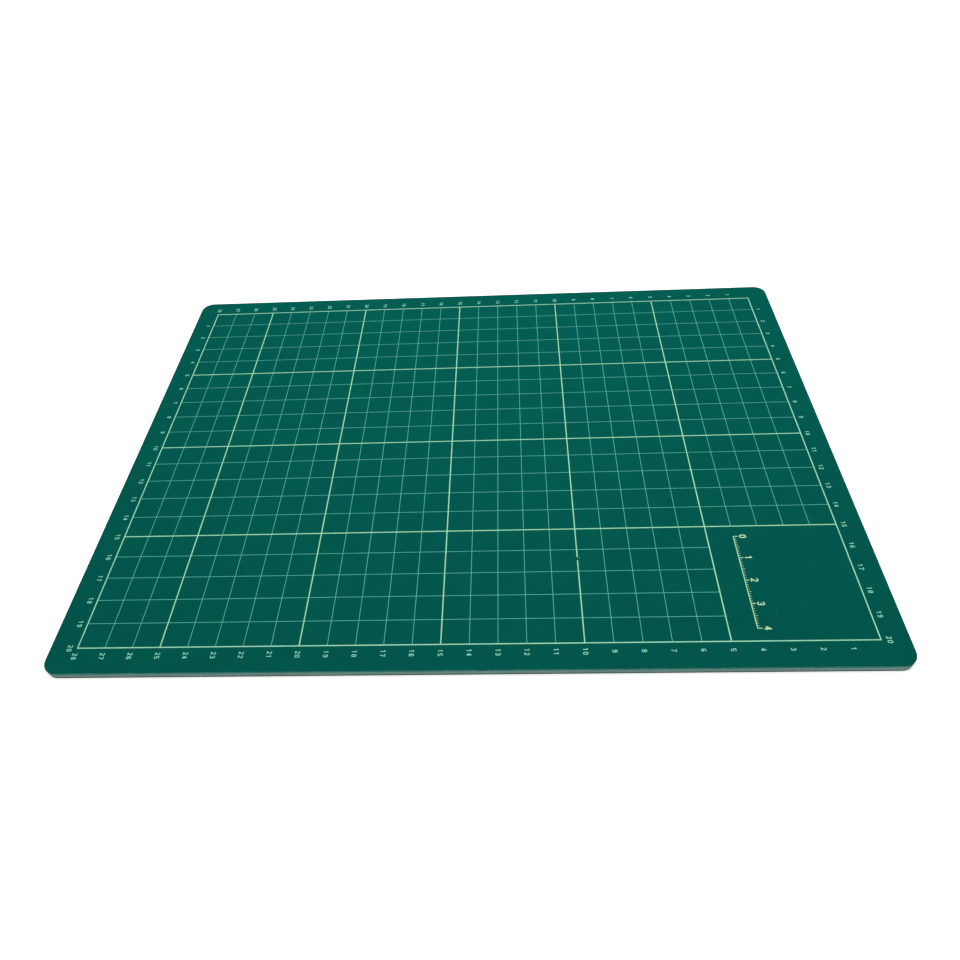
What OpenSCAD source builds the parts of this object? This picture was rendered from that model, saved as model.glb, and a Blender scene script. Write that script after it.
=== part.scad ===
// Craft cutting mat: two soft skins on a hard core sheet, with a centimetre grid printed on top.
// The mat lies flat. X runs along its length, Y from its front edge to its back edge, and Z up.
// The origin is the centre of the underside.

/* [Mat] */
// Length of the mat
mat_length = 300; // [200:1:600]
// Width of the mat, from front to back
mat_width = 220; // [180:1:450]
// Radius of the four corners
corner_radius = 5.5; // [1:0.5:10]

/* [Layers] */
// Thickness of the lower soft skin
lower_skin_t = 0.6; // [0.3:0.1:2]
// Thickness of the hard core sheet
core_t = 1.8; // [0.4:0.1:3]
// Thickness of the upper soft skin, which takes the cuts
upper_skin_t = 0.6; // [0.3:0.1:2]
// Thickness of the printed ink
ink_t = 0.04; // [0.02:0.01:0.1]

/* [Grid] */
// Least blank margin between the grid and the edges of the mat
margin = 10; // [8:0.5:15]
// Side of one printed square
square_side = 10; // [8:0.1:12.7]
// Squares from one heavy line to the next, and across the blank field
block = 5; // [4:1:8]
// Width of the frame line round the grid
frame_line_w = 0.4; // [0.2:0.05:1]
// Width of the heavy lines between the blocks
heavy_line_w = 0.4; // [0.2:0.05:1]
// Width of the fine lines between the squares
fine_line_w = 0.15; // [0.1:0.01:0.3]

/* [Numbers] */
// Height of a digit
digit_h = 1.8; // [1.2:0.1:2.6]
// Width of the pen that draws the digits
digit_pen = 0.25; // [0.15:0.01:0.35]
// Gap between the two digits of a number
digit_gap = 0.45; // [0.1:0.05:0.6]
// Gap between the frame line and the numbers at the two ends
end_gap = 1.75; // [0.5:0.05:3]
// Gap between the frame line and the numbers along the front
front_gap = 1.8; // [0.5:0.05:3]
// Gap between the frame line and the numbers along the back
back_gap = 2.1; // [0.5:0.05:3]

/* [Field scale] */
// Distance from the field's left line to the base line of the scale
scale_inset = 9.8; // [3:0.1:15]
// Least gap between the ends of the scale and the lines of the field
scale_end_gap = 4; // [2:0.5:8]
// Length from one number of the scale to the next
scale_unit = 10; // [8:0.5:12]
// Ticks in each unit of the scale
scale_ticks = 10; // [2:2:10]
// Length of the ticks that carry a number
scale_long_tick = 1.8; // [1:0.1:3]
// Length of the ticks halfway between two numbers
scale_half_tick = 1.4; // [0.8:0.1:2]
// Length of the other ticks
scale_short_tick = 1; // [0.5:0.1:1.5]
// Width of the base line and of the ticks that carry a number
scale_line_w = 0.3; // [0.2:0.05:0.4]
// Gap between the ticks and the numbers of the scale
scale_number_gap = 0.5; // [0.3:0.1:1]
// Height of the scale's digits
scale_digit_h = 2.7; // [1.5:0.1:4]
// Width of the pen that draws the scale's digits
scale_digit_pen = 0.42; // [0.25:0.01:0.5]

/* [Hidden] */
$fn = 48;
skin_green = "#045a50";
core_grey = "#8aa39b";
ink_pale = "#b4e6d0";

mat_t = lower_skin_t + core_t + upper_skin_t;

columns = floor((mat_length - 2 * margin) / square_side);
rows = floor((mat_width - 2 * margin) / square_side);
grid_length = columns * square_side;
grid_width = rows * square_side;
grid_right = grid_length / 2;
grid_back = grid_width / 2;

// The blank field takes the front right corner of the grid, up to the heavy lines behind and beside it
field_length = block * square_side;
field_width = (rows - block * (floor(rows / block) - 1)) * square_side;
field_left = grid_right - field_length;
field_front = -grid_back;

number_length = 2 * digit_width(digit_h, digit_pen) + digit_gap;
ends_number_x = grid_right + frame_line_w / 2 + end_gap + digit_h / 2;
front_number_y = -grid_back - frame_line_w / 2 - front_gap - number_length / 2;
back_number_y = grid_back + frame_line_w / 2 + back_gap + number_length / 2;

scale_units = floor((field_width - 2 * scale_end_gap) / scale_unit);
scale_length = scale_units * scale_unit;

// Angle by which an open bowl of a digit stops short of level
bowl_opening = 30;

// The lines are counted from the right and from the back, as the printed numbers count them
function line_x(n) = grid_right - n * square_side;
function line_y(n) = grid_back - n * square_side;
function is_heavy(n) = n % block == 0;

// A digit is two round bowls high and one wide
function digit_width(height, pen) = (height + pen) / 2;

// Sheets

module sheet(bottom, thickness) {
    translate([0, 0, bottom])
        linear_extrude(thickness)
            sheet_outline();
}

module sheet_outline() {
    inner_length = mat_length - 2 * corner_radius;
    inner_width = mat_width - 2 * corner_radius;
    square([inner_length, mat_width], center = true);
    square([mat_length, inner_width], center = true);
    for (side = [-1, 1], end = [-1, 1])
        translate([side * inner_length / 2, end * inner_width / 2])
            circle(r = corner_radius);
}

module lower_skin() {
    color(skin_green) sheet(0, lower_skin_t);
}

module core_sheet() {
    color(core_grey) sheet(lower_skin_t, core_t);
}

module upper_skin() {
    color(skin_green) sheet(lower_skin_t + core_t, upper_skin_t);
}

// Grid lines

module printed() {
    color(ink_pale)
        translate([0, 0, mat_t])
            linear_extrude(ink_t)
                children();
}

module frame_line() {
    difference() {
        square([grid_length + frame_line_w, grid_width + frame_line_w], center = true);
        square([grid_length - frame_line_w, grid_width - frame_line_w], center = true);
    }
}

// The line that a number at the front or the back stands for
module cross_line(n, line_w) {
    translate([line_x(n), 0]) square([line_w, grid_width], center = true);
}

// The line that a number at either end stands for
module long_line(n, line_w) {
    translate([0, line_y(n)]) square([grid_length, line_w], center = true);
}

module heavy_lines() {
    for (n = [1 : columns - 1]) if (is_heavy(n)) cross_line(n, heavy_line_w);
    for (n = [1 : rows - 1]) if (is_heavy(n)) long_line(n, heavy_line_w);
}

module fine_lines() {
    for (n = [1 : columns - 1]) if (!is_heavy(n)) cross_line(n, fine_line_w);
    for (n = [1 : rows - 1]) if (!is_heavy(n)) long_line(n, fine_line_w);
}

module blank_field() {
    translate([field_left + heavy_line_w / 2, field_front])
        square([field_length, field_width - heavy_line_w / 2]);
}

module print_frame_line() {
    printed() frame_line();
}

module print_heavy_lines() {
    printed() difference() {
        heavy_lines();
        frame_line();
        blank_field();
    }
}

module print_fine_lines() {
    printed() difference() {
        fine_lines();
        heavy_lines();
        frame_line();
        blank_field();
    }
}

// Digits, drawn with a round pen along straight dashes and along two bowls, one above the other

module dash(from, to, pen) {
    run = to - from;
    translate(from) rotate(atan2(run[1], run[0])) {
        translate([0, -pen / 2]) square([norm(run), pen]);
        circle(d = pen);
        translate([norm(run), 0]) circle(d = pen);
    }
}

module bowl(level, radius, pen) {
    translate([0, level]) difference() {
        circle(r = radius + pen / 2);
        circle(r = radius - pen / 2);
    }
}

// Part of a bowl, from one angle to a larger one
module bend(level, radius, from, to, pen) {
    reach = 2 * (radius + pen);
    steps = 8;
    intersection() {
        bowl(level, radius, pen);
        translate([0, level]) polygon([
            [0, 0],
            for (k = [0 : steps]) let (a = from + (to - from) * k / steps) reach * [cos(a), sin(a)]
        ]);
    }
    for (a = [from, to])
        translate([radius * cos(a), level + radius * sin(a)])
            circle(d = pen);
}

module digit(n, height, pen) {
    r = (height - pen) / 4;
    top = 2 * r;
    bowl_end = 180 - bowl_opening;
    if (n == 0) {
        bend(r, r, 0, 180, pen);
        bend(-r, r, 180, 360, pen);
        for (side = [-1, 1]) dash([side * r, -r], [side * r, r], pen);
    }
    if (n == 1) {
        flag_end = [-0.8, 1.3] * r;
        dash([0, -top], [0, top], pen);
        dash([0, top], flag_end, pen);
    }
    if (n == 2) {
        // The slope leaves the bowl on a tangent, which makes a 3-4-5 triangle
        slope_start = [4 / 5, 2 / 5] * r;
        bend(r, r, -atan2(3, 4), bowl_end, pen);
        dash(slope_start, [-r, -top], pen);
        dash([-r, -top], [r, -top], pen);
    }
    if (n == 3) {
        bend(r, r, -90, bowl_end, pen);
        bend(-r, r, -bowl_end, 90, pen);
    }
    if (n == 4) {
        stem = 0.5 * r;
        bar = -0.7 * r;
        dash([stem, -top], [stem, top], pen);
        dash([stem, top], [-r, bar], pen);
        dash([-r, bar], [r, bar], pen);
    }
    if (n == 5) {
        dash([-r, top], [r, top], pen);
        dash([-r, top], [-r, 0], pen);
        dash([-r, 0], [0, 0], pen);
        bend(-r, r, -bowl_end, 90, pen);
    }
    if (n == 6) {
        bowl(-r, r, pen);
        dash([-r, -r], [-r, r], pen);
        bend(r, r, bowl_opening, 180, pen);
    }
    if (n == 7) {
        foot = -0.3 * r;
        dash([-r, top], [r, top], pen);
        dash([r, top], [foot, -top], pen);
    }
    if (n == 8) {
        bowl(-r, r, pen);
        bowl(r, r, pen);
    }
    if (n == 9) {
        rotate(180) digit(6, height, pen);
    }
}

module number(n, height, pen) {
    digits = str(n);
    pitch = digit_width(height, pen) + digit_gap;
    for (i = [0 : len(digits) - 1])
        translate([(i - (len(digits) - 1) / 2) * pitch, 0])
            digit(ord(digits[i]) - ord("0"), height, pen);
}

// The numbers stand upright for a reader at the left end of the mat
module grid_number(n, x, y) {
    translate([x, y]) rotate(-90) number(n, digit_h, digit_pen);
}

module print_numbers_front() {
    printed() for (n = [1 : columns]) grid_number(n, line_x(n), front_number_y);
}

module print_numbers_back() {
    printed() for (n = [1 : columns]) grid_number(n, line_x(n), back_number_y);
}

module print_numbers_left() {
    printed() for (n = [1 : rows]) grid_number(n, -ends_number_x, line_y(n));
}

module print_numbers_right() {
    printed() for (n = [1 : rows]) grid_number(n, ends_number_x, line_y(n));
}

// Scale in the blank field, read from the same side as the numbers

function scale_tick(i) =
    i % scale_ticks == 0 ? scale_long_tick :
    i % (scale_ticks / 2) == 0 ? scale_half_tick : scale_short_tick;

module scale_rule() {
    translate([-scale_line_w / 2, 0]) square([scale_length + scale_line_w, scale_line_w]);
    for (i = [0 : scale_units * scale_ticks]) {
        tick_w = i % scale_ticks == 0 ? scale_line_w : fine_line_w;
        translate([i * scale_unit / scale_ticks - tick_w / 2, 0]) square([tick_w, scale_tick(i)]);
    }
}

module print_field_scale() {
    number_level = scale_long_tick + scale_number_gap + scale_digit_h / 2;
    printed()
        translate([field_left + scale_inset, field_front + (field_width + scale_length) / 2])
            rotate(-90) {
                scale_rule();
                for (n = [0 : scale_units])
                    translate([n * scale_unit, number_level])
                        number(n, scale_digit_h, scale_digit_pen);
            }
}

lower_skin();
core_sheet();
upper_skin();
print_frame_line();
print_heavy_lines();
print_fine_lines();
print_numbers_front();
print_numbers_back();
print_numbers_left();
print_numbers_right();
print_field_scale();
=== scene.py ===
# A green craft cutting mat lying on a white studio floor, seen from its front side
import math
from typing import NamedTuple

import bpy
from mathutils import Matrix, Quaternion, Vector


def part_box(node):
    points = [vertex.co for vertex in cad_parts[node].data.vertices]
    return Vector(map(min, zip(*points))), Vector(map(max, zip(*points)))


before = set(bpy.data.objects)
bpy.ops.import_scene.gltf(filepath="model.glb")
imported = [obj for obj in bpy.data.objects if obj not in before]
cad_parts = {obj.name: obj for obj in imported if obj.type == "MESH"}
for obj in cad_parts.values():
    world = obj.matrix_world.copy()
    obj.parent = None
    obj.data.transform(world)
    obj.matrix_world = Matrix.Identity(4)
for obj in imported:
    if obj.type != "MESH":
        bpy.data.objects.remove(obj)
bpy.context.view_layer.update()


class Noise(NamedTuple):
    """A noise pattern: waves per metre, detail, roughness, offset, and its stretch along each axis."""

    waves: float
    detail: float
    rough: float
    offset: float
    stretch: tuple = (1.0, 1.0, 1.0)


class Mark(NamedTuple):
    """A small mark on the upper face: its place along and across the mat, and its two half sizes."""

    along: float
    across: float
    half_along: float
    half_across: float


# All lengths are metres
MM = 0.001

# Camera, fitted to the printed grid of the photographed mat
CAMERA_PLACE = Vector((0.01686, -0.23028, 0.23283))
CAMERA_AHEAD = Vector((-0.04621, 0.66861, -0.74218))
CAMERA_ROLL = math.radians(-4.13)
CAMERA_LENS = 27.85
SENSOR_WIDTH = 36.0
CAMERA_NEAR = 0.01
CAMERA_FAR = 50.0

# Light: one broad soft lamp above and a little behind the mat, and an even room
ROOM_LIGHT = 0.3
LAMP_PLACE = Vector((0.02, 0.18, 0.65))
LAMP_SIZE = 0.5
LAMP_WATTS = 3.9

# Floor: white paper, which glows for the eye alone and more so away from the mat
FLOOR_RADIUS = 3.0
FLOOR_CORNERS = 96
FLOOR_DROP = 0.02 * MM
FLOOR_WHITE = 0.9
FLOOR_UNEVEN = 0.985
FLOOR_FIBRES = Noise(700.0, 2.0, 0.6, 43.0)
GLOW_NEAR = 0.68
GLOW_FAR = 0.9
GLOW_NEAR_REACH = 0.3
GLOW_FAR_REACH = 0.9

# Skins: soft green vinyl, which drifts a little in hue and in depth
SKIN_GREEN = (0.0007, 0.103, 0.075)
SKIN_BLUER = (0.0005, 0.099, 0.082)
SKIN_DEEP = (0.0005, 0.09, 0.07)
SKIN_PALE = (0.0011, 0.108, 0.083)
SKIN_GLOSS = 0.006
SKIN_ROUGH = (0.6, 0.72)
HUE_DRIFT = Noise(45.0, 4.0, 0.6, 0.0)
TONE_DRIFT = Noise(60.0, 4.0, 0.6, 5.0)
DEEP_SHARE = 0.7
FLECKS = Noise(1500.0, 2.0, 0.6, 3.0)
DIMPLES = Noise(800.0, 2.0, 0.5, 19.0)
DIMPLE_DEPTH = 0.012 * MM
GRAIN = Noise(2300.0, 2.0, 0.5, 17.0)
GRAIN_DEPTH = 0.008 * MM

# Cut sides of the skins, with fine upright marks where the punch dragged: the upper skin's cut is
# paler, and the lower skin's cut is darkened with painted shade
SKIN_CUTS_AND_PAINTED_SHADE = {
    # Lower skin: its own cut colour darkened to a grey with painted shade, standing in for the contact
    # shade under the mat's edge
    "lower_skin": (0.14, 0.18, 0.15),
    "upper_skin": (0.13, 0.4, 0.34),
}
CUT_ROUGHER = 0.15
DRAG_MARKS = Noise(1100.0, 3.0, 0.65, 11.0, (1.0, 1.0, 0.08))
DRAG_SHARES = (0.35, 1.0)
DRAG_DEPTH = 0.03 * MM
CUT_PATCHES = Noise(90.0, 2.0, 0.5, 13.0)
CUT_PATCH_SHARES = (0.75, 1.0)

# Upper rim of the mat, painted a little paler: partly the punch's wear, partly a painted highlight
# where a rounded edge would catch the light
CORNER_RADIUS = 5.5 * MM
RIM_WIDTH = 0.3 * MM
RIM_WEAR_AND_HIGHLIGHT = Noise(420.0, 3.0, 0.65, 7.0)
RIM_WEAR_AND_HIGHLIGHT_SHARES = (0.1, 0.45)

# Core: hard grey-green filler sheet, seen only on the cut sides
CORE_GREY = (0.27, 0.48, 0.43)
CORE_DARK = (0.19, 0.36, 0.32)
CORE_GLOSS = 0.1
CORE_ROUGH = (0.6, 0.8)
CORE_LAYERS = Noise(3600.0, 3.0, 0.6, 23.0, (0.03, 0.03, 1.0))
CORE_SHEAR = Noise(900.0, 3.0, 0.7, 29.0, (1.0, 1.0, 0.1))
CORE_PATCHES = Noise(70.0, 2.0, 0.5, 31.0)
LAYER_SHARE = 0.45
SHEAR_SHARE = 0.35
CORE_PATCH_SHARE = 0.2
LAYER_DEPTH = 0.03 * MM
SHEAR_DEPTH = 0.05 * MM

# Ink: pale yellow-green screen print, which covers least on the fine lines
INK_BOLD = (0.5, 0.93, 0.55)
INK_HEAVY = (0.4, 0.89, 0.56)
INK_FRAME = (0.38, 0.87, 0.6)
INK_NUMBER = (0.3, 0.88, 0.65)
INK_FINE = (0.16, 0.76, 0.61)
INK_GLOSS = 0.03
INK_ROUGH = (0.55, 0.7)
INK_UNEVEN = 0.85
INK_COVER = Noise(240.0, 3.0, 0.6, 37.0)
PINHOLES = Noise(5200.0, 2.0, 0.6, 41.0)
PINHOLE_SHARE = 0.45
PINHOLE_DEPTH = 0.006 * MM

NUMBER_PRINTS = (
    "print_numbers_front",
    "print_numbers_back",
    "print_numbers_left",
    "print_numbers_right",
)
PRINTS = (
    ("ink_bold", INK_BOLD, ("print_field_scale",)),
    ("ink_heavy", INK_HEAVY, ("print_heavy_lines",)),
    ("ink_frame", INK_FRAME, ("print_frame_line",)),
    ("ink_number", INK_NUMBER, NUMBER_PRINTS),
    ("ink_fine", INK_FINE, ("print_fine_lines",)),
)

# The one flaw in the print, a small cut across the tenth upright line, with a scuff beside it
NICK = Mark(40.05 * MM, -64.3 * MM, 0.6 * MM, 0.8 * MM)
SCUFF = Mark(40.7 * MM, -63.9 * MM, 0.35 * MM, 0.4 * MM)
# Two specks of dust on the skin
SPECKS = (
    Mark(108.0 * MM, -88.1 * MM, 0.24 * MM, 0.24 * MM),
    Mark(32.6 * MM, -94.0 * MM, 0.18 * MM, 0.18 * MM),
)
MARK_COVER = 0.16
MARK_REACH = 1.0 * MM
MARK_WOBBLE = Noise(2600.0, 2.0, 0.6, 0.0)
MARK_RAGGED = 0.5
MARK_RIM = (1.15, 0.85)

# How upright the normal is on a flat face, and on a cut side
FLAT_TO_SIDE = (0.9, 0.3)

# The mean of a noise, and spans of noise that are stretched from nought to one
NOISE_MEAN = 0.5
MIDDLE = (0.35, 0.65)
BROAD = (0.3, 0.7)
UPPER = (0.35, 0.75)
FLECK_SPAN = (0.45, 0.8)
SHADE_SPAN = (0.38, 0.62)
COVER_SPAN = (0.35, 0.7)
PINHOLE_SPAN = (0.68, 0.8)


class Graph:
    """A material's node tree, with short calls for the nodes that the surfaces below are made of."""

    def __init__(self, name):
        self.material = bpy.data.materials.new(name)
        self.material.use_nodes = True
        self.tree = self.material.node_tree
        self.shader = self.tree.nodes["Principled BSDF"]
        self.place = self.new("ShaderNodeTexCoord").outputs["Object"]

    def new(self, kind, **values):
        node = self.tree.nodes.new(kind)
        for key, value in values.items():
            setattr(node, key, value)
        return node

    def put(self, socket, value):
        """Links a socket to another, or writes a constant to it."""
        if isinstance(value, bpy.types.NodeSocket):
            self.tree.links.new(value, socket)
        elif socket.type == "RGBA":
            socket.default_value = (*value, 1.0)
        else:
            socket.default_value = value

    def set(self, name, value):
        """Links or writes one of the shader's own sockets."""
        self.put(self.shader.inputs[name], value)

    def math(self, operation, *values):
        node = self.new("ShaderNodeMath", operation=operation)
        for socket, value in zip(node.inputs, values):
            self.put(socket, value)
        return node.outputs["Value"]

    def vector(self, operation, *values):
        node = self.new("ShaderNodeVectorMath", operation=operation)
        for socket, value in zip(node.inputs, values):
            self.put(socket, value)
        return node.outputs["Value" if operation == "LENGTH" else "Vector"]

    def split(self, vector):
        node = self.new("ShaderNodeSeparateXYZ")
        self.put(node.inputs["Vector"], vector)
        return node.outputs

    def fit(self, value, span, to=(0.0, 1.0)):
        """Maps one span of values smoothly to another."""
        node = self.new("ShaderNodeMapRange", interpolation_type="SMOOTHSTEP")
        self.put(node.inputs["Value"], value)
        self.put(node.inputs["From Min"], span[0])
        self.put(node.inputs["From Max"], span[1])
        self.put(node.inputs["To Min"], to[0])
        self.put(node.inputs["To Max"], to[1])
        return node.outputs["Result"]

    def noise(self, pattern):
        moved = self.new("ShaderNodeMapping")
        self.put(moved.inputs["Vector"], self.place)
        self.put(moved.inputs["Location"], (pattern.offset, pattern.offset, pattern.offset))
        self.put(moved.inputs["Scale"], pattern.stretch)
        node = self.new("ShaderNodeTexNoise")
        self.put(node.inputs["Vector"], moved.outputs["Vector"])
        self.put(node.inputs["Scale"], pattern.waves)
        self.put(node.inputs["Detail"], pattern.detail)
        self.put(node.inputs["Roughness"], pattern.rough)
        return node.outputs["Fac"]

    def mix(self, share, first, second):
        """Mixes two colours. A Mix node has sockets of the same names for each type of data."""
        node = self.new("ShaderNodeMix", data_type="RGBA")
        colours = {socket.name: socket for socket in node.inputs if socket.type == "RGBA"}
        self.put(node.inputs["Factor"], share)
        self.put(colours["A"], first)
        self.put(colours["B"], second)
        return next(socket for socket in node.outputs if socket.type == "RGBA")

    def bump(self, height, distance, after=None):
        node = self.new("ShaderNodeBump")
        self.put(node.inputs["Strength"], 1.0)
        self.put(node.inputs["Height"], height)
        self.put(node.inputs["Distance"], distance)
        if after is not None:
            self.put(node.inputs["Normal"], after)
        return node.outputs["Normal"]

    def side(self):
        """One on the cut sides and nought on the flat faces."""
        normal = self.new("ShaderNodeTexCoord").outputs["Normal"]
        upright = self.math("ABSOLUTE", self.split(normal)["Z"])
        return self.fit(upright, FLAT_TO_SIDE)

    def mark(self, mark, top):
        """One inside a small ragged ellipse on the upper face, fading to nought at its rim."""
        offset = self.vector("SUBTRACT", self.place, (mark.along, mark.across, top))
        ratio = self.vector("DIVIDE", offset, (mark.half_along, mark.half_across, MARK_REACH))
        wobble = self.noise(MARK_WOBBLE._replace(offset=mark.along))
        ragged = self.math("MULTIPLY", self.math("SUBTRACT", wobble, NOISE_MEAN), MARK_RAGGED)
        reach = self.math("ADD", self.vector("LENGTH", ratio), ragged)
        return self.fit(reach, MARK_RIM)


def rim_distance(graph, corner):
    """How far a point lies inside the mat's rounded outline, from the corner of its box."""
    flat = graph.vector("MULTIPLY", graph.vector("ABSOLUTE", graph.place), (1.0, 1.0, 0.0))
    inner = (corner.x - CORNER_RADIUS, corner.y - CORNER_RADIUS, 0.0)
    over = graph.vector("SUBTRACT", flat, inner)
    outside = graph.vector("LENGTH", graph.vector("MAXIMUM", over, (0.0, 0.0, 0.0)))
    parts = graph.split(over)
    inside = graph.math("MINIMUM", graph.math("MAXIMUM", parts["X"], parts["Y"]), 0.0)
    return graph.math("SUBTRACT", CORNER_RADIUS, graph.math("ADD", outside, inside))


def skin_material(name, cut_colour_and_painted_light, corner):
    """Matt calendered vinyl: faint mottling, a fine pebble grain, dragged cut sides, a paler rim that
    is partly a painted highlight, and a lower cut side darkened with painted shade.
    """
    g = Graph(name)
    side = g.side()
    green = g.mix(g.fit(g.noise(HUE_DRIFT), MIDDLE), SKIN_BLUER, SKIN_GREEN)
    green = g.mix(g.fit(g.noise(TONE_DRIFT), MIDDLE, (0.0, DEEP_SHARE)), green, SKIN_DEEP)
    green = g.mix(g.fit(g.noise(FLECKS), FLECK_SPAN), green, SKIN_PALE)

    # Along the rim the skin is painted a little paler: partly where the punch pulled it down, partly a
    # painted highlight where the edge would catch the light
    near_rim = g.fit(rim_distance(g, corner), (RIM_WIDTH, 0.0))
    worn_and_lit = g.fit(g.noise(RIM_WEAR_AND_HIGHLIGHT), UPPER, RIM_WEAR_AND_HIGHLIGHT_SHARES)
    green = g.mix(g.math("MULTIPLY", near_rim, worn_and_lit), green, cut_colour_and_painted_light)

    drag = g.noise(DRAG_MARKS)
    dragged = g.fit(drag, BROAD, DRAG_SHARES)
    patched = g.fit(g.noise(CUT_PATCHES), BROAD, CUT_PATCH_SHARES)
    # The cut sides; for the lower skin this colour carries painted shade
    cut = g.mix(g.math("MULTIPLY", dragged, patched), SKIN_GREEN, cut_colour_and_painted_light)
    colour = g.mix(side, green, cut)

    # The scuff beside the cut in the print, and the specks of dust
    marked = g.mark(SCUFF, corner.z)
    for speck in SPECKS:
        marked = g.math("MAXIMUM", marked, g.mark(speck, corner.z))
    colour = g.mix(g.math("MULTIPLY", marked, MARK_COVER), colour, INK_FINE)
    g.set("Base Color", colour)

    grain = g.noise(GRAIN)
    rougher = g.math("MULTIPLY", side, CUT_ROUGHER)
    g.set("Roughness", g.math("ADD", g.fit(grain, BROAD, SKIN_ROUGH), rougher))
    g.set("Specular IOR Level", SKIN_GLOSS)
    normal = g.bump(g.noise(DIMPLES), DIMPLE_DEPTH)
    normal = g.bump(grain, GRAIN_DEPTH, normal)
    normal = g.bump(g.math("MULTIPLY", drag, side), DRAG_DEPTH, normal)
    g.set("Normal", normal)
    return g.material


def core_material():
    """The hard middle sheet's cut sides: thin lying streaks crossed by upright shear marks."""
    g = Graph("core_filler")
    layers = g.noise(CORE_LAYERS)
    shear = g.noise(CORE_SHEAR)
    shade = g.math("MULTIPLY", layers, LAYER_SHARE)
    shade = g.math("ADD", shade, g.math("MULTIPLY", shear, SHEAR_SHARE))
    shade = g.math("ADD", shade, g.math("MULTIPLY", g.noise(CORE_PATCHES), CORE_PATCH_SHARE))
    g.set("Base Color", g.mix(g.fit(shade, SHADE_SPAN), CORE_DARK, CORE_GREY))
    g.set("Roughness", g.fit(shear, BROAD, CORE_ROUGH))
    g.set("Specular IOR Level", CORE_GLOSS)
    normal = g.bump(shear, SHEAR_DEPTH)
    g.set("Normal", g.bump(layers, LAYER_DEPTH, normal))
    return g.material


def ink_material(name, ink, top):
    """Pale screen print: slightly uneven cover, pinholes, and the one cut through a heavy line."""
    g = Graph(name)
    thin = tuple(INK_UNEVEN * c for c in ink)
    cover = g.noise(INK_COVER)
    pinhole = g.noise(PINHOLES)
    colour = g.mix(g.fit(cover, COVER_SPAN), ink, thin)
    colour = g.mix(g.fit(pinhole, PINHOLE_SPAN, (0.0, PINHOLE_SHARE)), colour, SKIN_GREEN)
    g.set("Base Color", g.mix(g.mark(NICK, top), colour, SKIN_GREEN))
    g.set("Roughness", g.fit(cover, BROAD, INK_ROUGH))
    g.set("Specular IOR Level", INK_GLOSS)
    g.set("Normal", g.bump(pinhole, PINHOLE_DEPTH))
    return g.material


def seen_rays(tree):
    """One for camera, mirror and see-through rays, and nought for the rest."""
    path = tree.nodes.new("ShaderNodeLightPath")
    seen = path.outputs["Is Camera Ray"]
    for name in ("Is Glossy Ray", "Is Transmission Ray"):
        either = tree.nodes.new("ShaderNodeMath")
        either.operation = "MAXIMUM"
        tree.links.new(seen, either.inputs[0])
        tree.links.new(path.outputs[name], either.inputs[1])
        seen = either.outputs["Value"]
    return seen


def floor_material():
    """White paper that keeps the mat's shadow, with a glow that only the camera and reflections see."""
    g = Graph("floor_paper")
    white = (FLOOR_WHITE, FLOOR_WHITE, FLOOR_WHITE)
    dull = tuple(FLOOR_UNEVEN * c for c in white)
    g.set("Base Color", g.mix(g.fit(g.noise(FLOOR_FIBRES), MIDDLE), dull, white))
    g.set("Roughness", 1.0)
    g.set("Specular IOR Level", 0.0)
    reach = g.vector("LENGTH", g.place)
    glow = g.fit(reach, (GLOW_NEAR_REACH, GLOW_FAR_REACH), (GLOW_NEAR, GLOW_FAR))
    g.set("Emission Color", (1.0, 1.0, 1.0))
    g.set("Emission Strength", g.math("MULTIPLY", glow, seen_rays(g.tree)))
    return g.material


def make_floor():
    bpy.ops.mesh.primitive_circle_add(
        vertices=FLOOR_CORNERS, radius=FLOOR_RADIUS, fill_type="NGON", location=(0.0, 0.0, -FLOOR_DROP)
    )
    floor = bpy.context.object
    floor.name = "studio_floor"
    floor.data.materials.append(floor_material())


def make_world():
    world = bpy.data.worlds.new("studio_room")
    bpy.context.scene.world = world
    world.use_nodes = True
    tree = world.node_tree
    background = tree.nodes["Background"]
    background.inputs["Color"].default_value = (1.0, 1.0, 1.0, 1.0)
    level = tree.nodes.new("ShaderNodeMapRange")
    level.inputs["To Min"].default_value = ROOM_LIGHT
    level.inputs["To Max"].default_value = 1.0
    tree.links.new(seen_rays(tree), level.inputs["Value"])
    tree.links.new(level.outputs["Result"], background.inputs["Strength"])


def make_lamp():
    lamp = bpy.data.lights.new("softbox", "AREA")
    lamp.shape = "DISK"
    lamp.size = LAMP_SIZE
    lamp.energy = LAMP_WATTS
    holder = bpy.data.objects.new("softbox", lamp)
    holder.location = LAMP_PLACE
    holder.visible_camera = False
    bpy.context.scene.collection.objects.link(holder)


def make_camera():
    camera = bpy.data.cameras.new("camera")
    camera.lens = CAMERA_LENS
    camera.sensor_width = SENSOR_WIDTH
    camera.sensor_fit = "HORIZONTAL"
    camera.clip_start = CAMERA_NEAR
    camera.clip_end = CAMERA_FAR
    holder = bpy.data.objects.new("camera", camera)
    holder.location = CAMERA_PLACE
    holder.rotation_mode = "QUATERNION"
    aim = CAMERA_AHEAD.to_track_quat("-Z", "Y")
    holder.rotation_quaternion = aim @ Quaternion((0.0, 0.0, 1.0), CAMERA_ROLL)
    bpy.context.scene.collection.objects.link(holder)
    bpy.context.scene.camera = holder


def dress(name, material):
    """Gives a part of the mat its material."""
    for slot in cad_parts[name].material_slots:
        slot.material = material


def dress_mat():
    top_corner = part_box("upper_skin")[1]
    for name, cut_colour_and_painted_light in SKIN_CUTS_AND_PAINTED_SHADE.items():
        dress(name, skin_material("vinyl_" + name, cut_colour_and_painted_light, top_corner))
    dress("core_sheet", core_material())
    for name, ink, prints in PRINTS:
        material = ink_material(name, ink, top_corner.z)
        for part in prints:
            dress(part, material)


dress_mat()
make_floor()
make_world()
make_lamp()
make_camera()
bpy.context.scene.view_settings.view_transform = "Standard"
